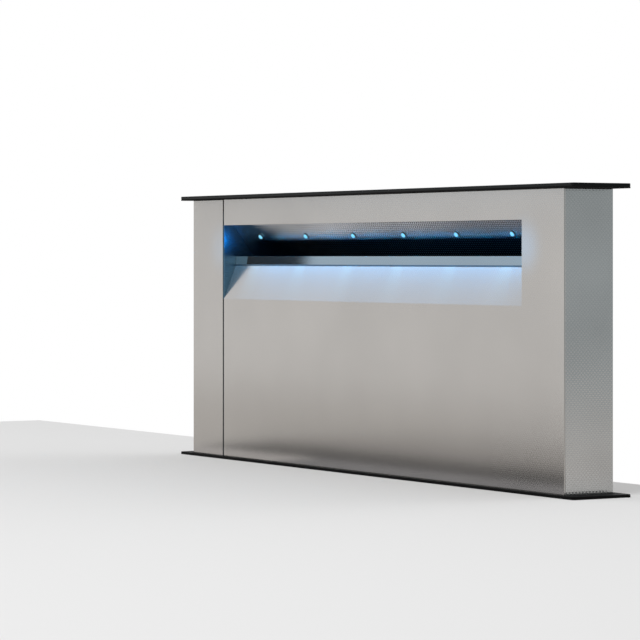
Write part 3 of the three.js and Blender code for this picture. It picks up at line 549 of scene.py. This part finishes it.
def add_riser():
    dress_front(refined("front_panel", "brushed_steel", 0.5 * MM, 3, 4, lean_lip))
    refined("left_post", "brushed_steel", 0.5 * MM, 3)
    refined("rear_panel", "brushed_steel", 0.4 * MM)
    low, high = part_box("rear_panel")
    edges = (low.x + 7 * MM, high.x - 7 * MM)
    places = [(x, high.y, z) for x in edges for z in spaced(low.z + 12 * MM, high.z - 14 * MM, 7)]
    fasteners("rear_panel_rivets", "riser", "screw_steel", flush_rivet, places, BACK, 3 * MM)
    refined("right_end_panel", "satin_steel", 0.5 * MM, 3)
    refined("intake_plate", mirror_steel, 0.35 * MM)
    # Both duct walls take the steel with painted blue glow and painted shade.
    refined("duct_wall_left", painted_blue_glow_steel, 0.2 * MM, change=reach_forward)
    refined("duct_wall_right", painted_blue_glow_steel, 0.3 * MM)
    refined("drip_tray", "satin_steel", 0.35 * MM)
    refined("lamp_driver", "black_plastic", 1.2 * MM, 3)
    for side in ("left", "right"):
        refined("nut_carrier_" + side, "zinc", 0.8 * MM)
        refined("guide_shoe_" + side, "white_nylon", 1.0 * MM, 3)


def lamp_place(node):
    """Middle of a lamp's face on the slanted plate, and the way it points."""
    lean = math.radians(38)
    body_length, body_radius = 11 * MM, 4 * MM
    pointing = Vector((0, -math.cos(lean), -math.sin(lean)))
    low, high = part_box(node)
    y = high.y - body_length * math.cos(lean) - body_radius * math.sin(lean)
    z = high.z - body_length * math.sin(lean) - body_radius * math.cos(lean)
    return Vector(((low.x + high.x) / 2, y, z)), pointing


def add_lamp(i, turn):
    """One lamp's black bezel and its lit dome."""
    rim = [(4, -11), (4, 0.3), (4.4, 0.32), (4.5, 0.5), (4.3, 0.75), (3.7, 0.85), (3.3, 0.8), (3.2, 0.4)]
    dome = [(3.15, 0.42), (3.12, 0.9), (2.95, 1.6), (2.5, 2.25), (1.85, 2.75), (1.0, 3.0), (0.3, 3.05)]
    bezel = bmesh.new()
    lathe(bezel, rim, 32, turn, MM)
    shade(bezel, 40)
    added(f"lamp_bezel_{i}", bezel, "riser", "black_plastic")
    lens = bmesh.new()
    lathe(lens, dome, 32, turn, MM)
    shade(lens, 60)
    piece = added(f"lamp_lens_{i}", lens, "riser", "lamp_lens")
    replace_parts(piece, f"lamp_{i}")


def lit_pieces(*nodes):
    """The pieces that a light falls onto, or that shade it."""
    group = bpy.data.collections.new("lit_" + nodes[-1])
    for node in nodes:
        group.objects.link(bpy.data.objects[node + "_shell"])
    return group


def add_lamps():
    """The six lamps, with their light on the slot's ends, the lower slope and the face beside the slot."""
    walls = lit_pieces("duct_wall_left", "duct_wall_right")
    fronts = lit_pieces("front_panel")
    around = lit_pieces("front_panel", "left_post")
    shades = lit_pieces("drip_tray")
    wall_blue, pool_cyan, wash_blue, halo_blue = (0, 0.36, 1), (0.3, 0.75, 1), (0, 0.4, 1), (0.05, 0.45, 1)
    outward = {1: (1, -0.3, -0.5), 6: (-1, -0.3, -0.5)}  # from the end lamps to the walls
    ahead = 5 * MM
    for i in range(1, 7):
        place, pointing = lamp_place(f"lamp_{i}")
        add_lamp(i, along(place, pointing))
        source = place + pointing * ahead
        if i in outward:
            glow = light(f"lamp_light_{i}", "SPOT", source, outward[i], 0.034, wall_blue, 6 * MM, 170)
            on_riser(glow, walls)
        pool = light(f"lamp_pool_{i}", "SPOT", source, (0, -0.1, -1), 0.8, pool_cyan, 2 * MM, 36)
        on_riser(pool, fronts, shades)
    low, high = lamp_place("lamp_6")[0], lamp_place("lamp_1")[0]
    place = (low + high) / 2 + Vector((28, -4.2, -3)) * MM
    length = high.x - low.x + 56 * MM
    wash = light("lamp_wash", "AREA", place, (0, -0.6, -1), 10, wash_blue, length)
    wash.data.shape, wash.data.size_y = "RECTANGLE", 4 * MM
    on_riser(wash, fronts, shades)
    for side, x, power in (("right", 347, 0.4), ("left", -347, 0.2)):
        place = Vector((x, -80, 277)) * MM
        halo = light(f"lamp_halo_{side}", "SPOT", place, BACK, power, halo_blue, 6 * MM, 85)
        halo.visible_glossy, halo.data.spot_blend = False, 1.0
        on_riser(halo, around)


def diamond_lattice(mesh, corner, across, up, columns, rows, half, depth):
    """Expanded metal: crossing strips in the plane of across and up, half wide and depth thick."""
    normal = across.cross(up).normalized() * depth
    width, height = across.length, up.length
    across, up = across.normalized(), up.normalized()
    shortest = 0.4  # of a cell
    for slant in (1, -1):
        lift = normal * (0.5 if slant > 0 else 0.0)
        for k in range(columns + rows + 1):
            start = Vector((k - rows if slant > 0 else k, 0))
            end = start + Vector((slant * rows, rows))
            a, b = clipped(start, end, columns), clipped(end, start, columns)
            if (b - a).length < shortest or not (-0.01 <= a.x <= columns + 0.01):
                continue
            first, last = (
                corner + across * (p.x / columns * width) + up * (p.y / rows * height) for p in (a, b)
            )
            side = (last - first).cross(normal).normalized() * half
            edges = ((side, 0.0), (side, 0.5), (-side, 0.5), (-side, 0.0))
            section = [first + aside + lift + normal * rise for aside, rise in edges]
            verts = [mesh.verts.new(p) for p in section + [p + (last - first) for p in section]]
            skin(mesh, [verts[:4], verts[4:]])


def clipped(point, other, columns):
    """A strip's end, moved towards its other end until it lies within the columns."""
    reach = other - point
    within = min(max(point.x, 0), columns)
    return point + reach * ((within - point.x) / reach.x)


def add_filters():
    lean = math.radians(14)
    frame_width, thick, length = 12 * MM, 9 * MM, 185 * MM
    strip_half, strip_depth, half_gap = 0.35 * MM, 1.3 * MM, 3 * MM
    up = Vector((0, math.sin(lean), math.cos(lean)))
    out = Vector((0, -math.cos(lean), math.sin(lean)))
    for side in ("left", "right"):
        node = "grease_filter_" + side
        refined(node, "filter_aluminium", 0.6 * MM)
        low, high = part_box(node)
        foot = Vector((low.x, low.y + thick * math.cos(lean) / 2, low.z + thick * math.sin(lean) / 2))
        across = Vector((high.x - low.x - 2 * frame_width, 0, 0))
        rise = up * (length - 2 * frame_width)
        mesh = bmesh.new()
        for face in (1, -1):
            corner = foot + out * face * half_gap + Vector((frame_width, 0, 0)) + up * frame_width
            diamond_lattice(mesh, corner, across, rise, 38, 40, strip_half, strip_depth)
        bmesh.ops.recalc_face_normals(mesh, faces=mesh.faces)
        added("filter_lattice_" + side, mesh, "riser", "pulley_aluminium")


# ---- Cap and rim ----


def widen_plate(mesh):
    """Brings the carrier's plate up to the glass and out to its edge, as one black bar."""
    plate_foot, plate_middle, glass_foot = 341.2 * MM, 342.3 * MM, 342.87 * MM
    wider, deeper = 449.6 / 448.5, 39.6 / 38.5
    for vertex in mesh.verts:
        if vertex.co.z > plate_foot:
            vertex.co.x *= wider
            vertex.co.y *= deeper
        if vertex.co.z > plate_middle:
            vertex.co.z = glass_foot


def add_cap():
    refined("cap_glass", "black_glass", 1.4 * MM, 5)
    refined("cap_carrier", "black_enamel", 0.35 * MM, change=widen_plate)
    refined("touch_board", "circuit_board", 0.4 * MM)


def add_rim():
    refined("rim_frame", matt_black, 0.7 * MM, 3)
    refined("wiper_seal", "rubber", 0.5 * MM)


# ---- Chassis ----


def add_chassis():
    for node in ("chassis_front", "chassis_rear", "chassis_end_left", "chassis_end_right"):
        refined(node, "galvanised", 0.3 * MM)
    refined("chassis_floor", "galvanised", 0.4 * MM)
    refined("belt_cover", "galvanised", 0.4 * MM)
    for side in ("left", "right"):
        refined("guide_rail_" + side, "zinc", 0.3 * MM)
        refined("worktop_bracket_" + side, "zinc", 0.5 * MM)
        refined("support_leg_" + side, "zinc", 0.6 * MM)
    add_chassis_rivets()
    add_chassis_ribs()
    low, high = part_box("belt_cover")
    xs = spaced(low.x + 20 * MM, high.x - 20 * MM, 5)
    places = [(x, side * 28 * MM, low.z) for x in xs for side in (-1, 1)]
    fasteners("belt_cover_screws", "chassis", "zinc", screw_head, places, DOWN, 3.4 * MM)
    add_chassis_bolts()


def add_chassis_rivets():
    """Two columns of rivets on the front sheet and on the rear one."""
    front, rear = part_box("chassis_front"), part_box("chassis_rear")
    ends = (front[0].x + 7 * MM, front[1].x - 7 * MM)
    heights = spaced(front[0].z + 14 * MM, front[1].z - 16 * MM, 8)
    for name, y, out in (("front", front[0].y, FRONT), ("rear", rear[1].y, BACK)):
        places = [(x, y, z) for x in ends for z in heights]
        fasteners(f"chassis_rivets_{name}", "chassis", "zinc", rivet_head, places, out, 2.8 * MM)


def add_chassis_ribs():
    """Level ribs on the rear and the front, clear of the blower, and an upright one on each end."""
    front_y, rear_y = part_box("chassis_front")[0].y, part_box("chassis_rear")[1].y
    rows = [(rear_y, BACK, z, side * 400, side * 40) for z in (-90, -230, -370) for side in (-1, 1)]
    rows += [(front_y, FRONT, z, side * 405, side * 240) for z in (-60, -400) for side in (-1, 1)]
    rows.append((front_y, FRONT, -60, -200, 200))
    runs = [((start * MM, y, z * MM), (end * MM, y, z * MM), out) for y, out, z, start, end in rows]
    for side in (-1, 1):
        x = side * 440 * MM
        runs.append(((x, 0, -280 * MM), (x, 0, -125 * MM), (side, 0, 0)))
    swages("chassis_swages", "chassis", "galvanised", runs)


def add_chassis_bolts():
    """Bolts through the worktop brackets, and through the slots of the legs."""
    bracket_sheet, leg_sheet = 2 * MM, 2.5 * MM
    for side, name in ((-1, "left"), (1, "right")):
        low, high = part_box("worktop_bracket_" + name)
        plate = (low.x if side > 0 else high.x) + side * bracket_sheet
        places = [(plate, y * MM, low.z + 30 * MM) for y in (-14, 14)]
        fasteners(f"bracket_bolts_{name}", "chassis", "zinc", hex_bolt, places, (side, 0, 0), 5 * MM)
        low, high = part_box("support_leg_" + name)
        plate = (low.x if side > 0 else high.x) + side * leg_sheet
        slot_foot = high.z - 15 * MM - LEG_REACH - 7 * MM
        places = [(plate, y * MM, slot_foot + 3.5 * MM) for y in (-10, 10)]
        fasteners(f"leg_bolts_{name}", "chassis", "zinc", hex_bolt, places, (side, 0, 0), 4.6 * MM)


# ---- Lift drive ----


PULLEY_HEIGHT, FLANGE = 10 * MM, 1.0 * MM


def threaded(mesh, low, high, root, crest, pitch, starts, turn):
    """A multi-start trapezoidal thread as one closed skin, round turn's Z."""
    count = int((high - low) / (pitch / 6))

    def reach(angle, height):
        phase = (height / pitch - starts * angle / (2 * math.pi)) % 1
        flank = min(max(abs(phase - 0.5) * 4 - 0.5, 0), 1)
        return crest + (root - crest) * flank

    skin(mesh, [ring(mesh, reach, low + (high - low) * i / count, 24, turn) for i in range(count + 1)])


def toothed_pulley(mesh, low, radius, teeth, turn):
    """Belt teeth between two flanges."""
    high = low + PULLEY_HEIGHT
    edge = 0.97 * radius
    lathe(mesh, [(edge, low), (radius, low + 0.3 * FLANGE), (radius, low + FLANGE)], 40, turn)
    lathe(mesh, [(radius, high - FLANGE), (radius, high - 0.3 * FLANGE), (edge, high)], 40, turn)

    def reach(angle, _height):
        phase = (angle * teeth / (2 * math.pi)) % 1
        return radius * (0.94 if phase < 0.5 else 0.86)

    skin(mesh, [ring(mesh, reach, z, teeth * 4, turn) for z in (low + FLANGE, high - FLANGE)])


def add_lead_screw(side):
    """Pulley, journal, collar, thread and a turned-down end on one axis."""
    node = "lead_screw_" + side
    low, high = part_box(node)
    turn = upright((low + high) / 2)
    root, crest, journal, end = 4.7 * MM, 6 * MM, 7.5 * MM, 3.9 * MM
    journal_foot = low.z + PULLEY_HEIGHT
    journal_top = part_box("screw_bearing_" + side)[1].z + 0.3 * MM
    thread_foot, thread_top = journal_top + 4 * MM, high.z - 3 * MM
    collar = [(10.6, 0), (11, 0.4), (11, 3.6), (10.6, 4)]
    mesh = bmesh.new()
    toothed_pulley(mesh, low.z, 14 * MM, 28, turn)
    profile = [(7.2 * MM, journal_foot), (journal, journal_foot + 0.4 * MM), (journal, journal_top)]
    lathe(mesh, profile, 40, turn)
    lathe(mesh, [(r * MM, journal_top + z * MM) for r, z in collar], 40, turn)
    threaded(mesh, thread_foot, thread_top, root, crest, 5 * MM, 4, turn)
    lathe(mesh, [(root, thread_top), (root, high.z - 0.8 * MM), (end, high.z)], 24, turn)
    shade(mesh, 30)
    piece = added(f"threaded_screw_{side}", mesh, BODY_OF[node], "screw_steel")
    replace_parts(piece, node)


def add_drive():
    for side in ("left", "right"):
        add_lead_screw(side)
        refined("screw_bearing_" + side, "black_plastic", 1.2 * MM, 3)
    low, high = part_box("motor_pulley")
    turn = upright((low + high) / 2)
    shaft = 4 * MM
    mesh = bmesh.new()
    toothed_pulley(mesh, low.z, 10 * MM, 20, turn)
    profile = [(shaft, low.z + PULLEY_HEIGHT), (shaft, high.z - 0.4 * MM), (3.6 * MM, high.z)]
    lathe(mesh, profile, 32, turn)
    shade(mesh, 30)
    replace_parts(added("toothed_motor_pulley", mesh, "motor_shaft", "pulley_aluminium"), "motor_pulley")
    refined("lift_gearmotor", "zinc", 1.2 * MM, 3)
    refined("drive_belt", "rubber", 0.25 * MM)


# ---- Blower, duct and electrics ----


def add_blower():
    refined("blower_box", "galvanised", 0.4 * MM)
    refined("blower_cover", "galvanised", 0.35 * MM)
    refined("scroll_rear", "black_plastic", 0.5 * MM)
    refined("scroll_front", "black_plastic", 0.5 * MM)
    refined("inlet_ring", "grey_plastic", 1.0 * MM, 3)
    refined("impeller", "grey_plastic", 0.2 * MM, 1)
    refined("blower_motor", "zinc", 1.2 * MM, 3)
    add_cover_screws()
    add_blower_ribs()
    refined("outlet_collar", "galvanised", 0.35 * MM)
    refined("flap_front", "filter_aluminium", 0.2 * MM, 1)
    refined("flap_rear", "filter_aluminium", 0.2 * MM, 1)
    add_collar_rivets()


def add_cover_screws():
    """Screws all round the blower cover's edge."""
    low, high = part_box("blower_cover")
    edge = 9 * MM
    xs, zs = spaced(low.x + edge, high.x - edge, 5), spaced(low.z + edge, high.z - edge, 5)
    around = [(x, z) for x in xs for z in (zs[0], zs[-1])]
    around += [(x, z) for x in (xs[0], xs[-1]) for z in zs[1:-1]]
    places = [(x, low.y, z) for x, z in around]
    fasteners("blower_cover_screws", "chassis", "zinc", screw_head, places, FRONT, 3.6 * MM)


def add_blower_ribs():
    """A ring pressed into the cover round the motor, and a bead round the outlet collar."""
    ribs = bmesh.new()
    cover_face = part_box("blower_cover")[0].y
    low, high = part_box("blower_motor")
    center = (low + high) / 2
    pressed_ring(ribs, along((center.x, cover_face, center.z), FRONT), 78 * MM, 5 * MM, 1 * MM)
    low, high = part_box("outlet_collar")
    center = (low + high) / 2
    collar_axis = along((low.x + 12 * MM, center.y, center.z), (-1, 0, 0))
    rolled_bead(ribs, collar_axis, 75 * MM, 3 * MM, 0.9 * MM)
    bmesh.ops.recalc_face_normals(ribs, faces=ribs.faces)
    shade(ribs, 50)
    added("blower_swages", ribs, "chassis", "galvanised")


def add_collar_rivets():
    """A circle of rivets through the collar's flange."""
    low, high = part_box("outlet_collar")
    center = (low + high) / 2
    count, circle, face = 8, 81 * MM, high.x - 1.5 * MM
    angles = [math.pi * (2 * k + 1) / count for k in range(count)]
    places = [(face, center.y + circle * math.cos(a), center.z + circle * math.sin(a)) for a in angles]
    fasteners("collar_rivets", "chassis", "zinc", rivet_head, places, (-1, 0, 0), 2.6 * MM)


def add_electrics():
    refined("electronics_box", "black_plastic", 1.2 * MM, 3)
    refined("electronics_lid", "black_plastic", 0.8 * MM, 3)
    refined("control_board", "circuit_board", 0.3 * MM)
    refined("mains_gland", "black_plastic", 0.8 * MM)
    low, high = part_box("electronics_lid")
    edge, inset = 10 * MM, 30 * MM
    corners = [(x, z) for x in (low.x + edge, high.x - edge) for z in (low.z + edge, high.z - edge)]
    places = [(x, low.y, z) for x, z in corners]
    fasteners("electronics_lid_screws", "chassis", "zinc", screw_head, places, FRONT, 3 * MM)
    rows = spaced(low.z + 35 * MM, high.z - 35 * MM, 7)
    runs = [((low.x + inset, low.y, z), (high.x - inset, low.y, z), FRONT) for z in rows]
    swages("electronics_lid_ribs", "chassis", "black_plastic", runs, 2 * MM)


# ---- Stage, light and camera ----


def light(name, kind, place, direction, power, color, size, spread=None):
    """A light that the camera doesn't see; only spots leave highlights on shiny surfaces."""
    data = bpy.data.lights.new(name, kind)
    data.energy, data.color = power, color
    if kind == "AREA":
        data.shape, data.size = "DISK", size
    else:
        data.shadow_soft_size = size
        data.spot_size, data.spot_blend = math.radians(spread), 0.3
    lamp = bpy.data.objects.new(name, data)
    bpy.context.scene.collection.objects.link(lamp)
    lamp.matrix_world = along(place, -Vector(direction))
    lamp.visible_camera = False
    lamp.visible_glossy = kind == "SPOT"
    return lamp


def on_riser(lamp, onto, shaded_by=None):
    """Lets a light ride on the riser and fall onto some pieces only, shaded by some or by all."""
    lamp.parent = RISER
    lamp.light_linking.receiver_collection = onto
    lamp.light_linking.blocker_collection = shaded_by


def sheet_of(name, low, high, height, holes=()):
    """A level stage sheet, with rectangular holes."""
    xs = sorted({low[0], high[0], *(h[i][0] for h in holes for i in (0, 1))})
    ys = sorted({low[1], high[1], *(h[i][1] for h in holes for i in (0, 1))})
    mesh = bmesh.new()
    grid = {(x, y): mesh.verts.new((x, y, height)) for x in xs for y in ys}
    for x0, x1 in zip(xs, xs[1:]):
        for y0, y1 in zip(ys, ys[1:]):
            middle = ((x0 + x1) / 2, (y0 + y1) / 2)
            if any(a[0] < middle[0] < b[0] and a[1] < middle[1] < b[1] for a, b in holes):
                continue
            mesh.faces.new((grid[x0, y0], grid[x1, y0], grid[x1, y1], grid[x0, y1]))
    data = bpy.data.meshes.new(name)
    mesh.to_mesh(data)
    mesh.free()
    piece = bpy.data.objects.new(name, data)
    bpy.context.scene.collection.objects.link(piece)
    return piece


def add_stage():
    worktop_paint = Recipe("pale_worktop", (0.72, 0.72, 0.72), 0.9)
    floor_paint = Recipe("pale_floor", (0.8, 0.8, 0.8), 0.9)
    for paint in (worktop_paint, floor_paint):
        paint.set("Specular IOR Level", 0.0)
        paint.gloss(paint.noise(40), 0.1)
    low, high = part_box("chassis_front")[0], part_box("chassis_rear")[1]
    cutout = ((low.x, low.y), (high.x, high.y))
    worktop = sheet_of("worktop", (-1.3, -1.5), (1.75, 0.16), 0, [cutout])
    worktop.data.materials.append(worktop_paint.material)
    ground = sheet_of("ground", (-6, -6), (6, 6), cad_box[0].z - LEG_REACH - 1 * MM)
    ground.data.materials.append(floor_paint.material)
    add_cards()


def add_cards():
    """What the steel mirrors: dark and grey cards before the rim, with pale and dim ones round them."""
    mirrored("dark_card", (-0.58, -0.25), (0.6, -0.13), (0, 0, 0))
    mirrored("grey_card_far", (-0.6, -0.55), (0.6, -0.25), (0.43, 0.41, 0.4))
    mirrored("grey_card_left", (-0.6, -0.13), (-0.25, -0.04), (0.66, 0.64, 0.64))
    mirrored("grey_card_near", (-0.25, -0.13), (0.6, -0.04), (0.31, 0.31, 0.33))
    mirrored("pale_card_left", (-2.6, -1.1), (-0.6, -0.04), (0.72, 0.7, 0.68))
    mirrored("pale_card_right", (0.6, -1.5), (2.0, 1.8), (0.7, 0.68, 0.66))
    dim = mirrored("dim_card", (-0.9, -1.5), (2.0, 4.0), (0.47, 0.52, 0.54))
    dim.matrix_world = Matrix.Translation((2.6, 0, 1)) @ Matrix.Rotation(math.pi / 2, 4, "Y")
    blue = mirrored("upright_card_blue", (-5.25, 0.55), (-3.5, 1.5), (0.6, 0.8, 1.0))
    dark = mirrored("upright_card_dark", (-6.3, 0.55), (-5.25, 1.5), (0.0, 0.01, 0.02))
    for card in (blue, dark):
        card.matrix_world = Matrix.Translation((0, -3, 0)) @ Matrix.Rotation(math.pi / 2, 4, "X")


def mirrored(name, low, high, color):
    """A flat card of even brightness that only shiny surfaces see."""
    card = sheet_of(name, low, high, 1 * MM)
    paper = Recipe(name, (0, 0, 0), 1.0)
    paper.set("Specular IOR Level", 0.0)
    paper.set("Emission Color", (*color, 1))
    paper.set("Emission Strength", 1.0)
    card.data.materials.append(paper.material)
    for ray in ("camera", "diffuse", "shadow", "transmission"):
        setattr(card, "visible_" + ray, False)
    return card


def add_world():
    """White where a camera, a mirror or glass sees it, and a little dimmer as light."""
    seen_strength, lit_strength = 1.0, 0.75
    world = bpy.data.worlds.new("studio")
    bpy.context.scene.world = world
    world.use_nodes = True
    tree = world.node_tree
    background = tree.nodes["Background"]
    rays = tree.nodes.new("ShaderNodeLightPath").outputs
    seen = rays["Is Camera Ray"]
    for other in ("Is Glossy Ray", "Is Transmission Ray"):
        either = tree.nodes.new("ShaderNodeMath")
        either.operation = "MAXIMUM"
        tree.links.new(seen, either.inputs[0])
        tree.links.new(rays[other], either.inputs[1])
        seen = either.outputs[0]
    strength = tree.nodes.new("ShaderNodeMapRange")
    strength.inputs["To Min"].default_value = lit_strength
    strength.inputs["To Max"].default_value = seen_strength
    tree.links.new(seen, strength.inputs["Value"])
    tree.links.new(strength.outputs[0], background.inputs["Strength"])
    background.inputs["Color"].default_value = (1, 1, 1, 1)


def add_camera():
    """Level, seen from the right front; solved from the photograph's vanishing points."""
    rise = 338 * MM
    corner = Vector((424, -33.5, 3.4)) * MM  # body's front right corner on the rim
    away = Vector((7.88119, -5.68125, 0.77334)) * rise
    forward = Vector((-0.85626, 0.51656, 0))
    data = bpy.data.cameras.new("camera")
    data.lens, data.sensor_width, data.shift_y = 167.5, 36, -0.0975
    camera = bpy.data.objects.new("camera", data)
    bpy.context.scene.collection.objects.link(camera)
    camera.location = corner + away
    camera.rotation_euler = forward.to_track_quat("-Z", "Y").to_euler()
    bpy.context.scene.camera = camera


def add_lights():
    white = (1, 1, 1)
    light("key", "AREA", Vector((1.2, -2.2, 2.6)), (-0.4, 0.7, -0.85), 38, white, 2.0)
    light("fill", "AREA", Vector((-2.4, -1.6, 1.8)), (0.8, 0.5, -0.5), 14, white, 2.0)
    light("back", "AREA", Vector((0.5, 2.4, 2.0)), (-0.1, -0.8, -0.6), 12, white, 2.0)


add_camera()
add_world()
add_stage()
add_lights()
add_riser()
add_lamps()
add_filters()
add_cap()
add_rim()
add_chassis()
add_drive()
add_blower()
add_electrics()

bpy.context.scene.view_settings.view_transform = "Standard"
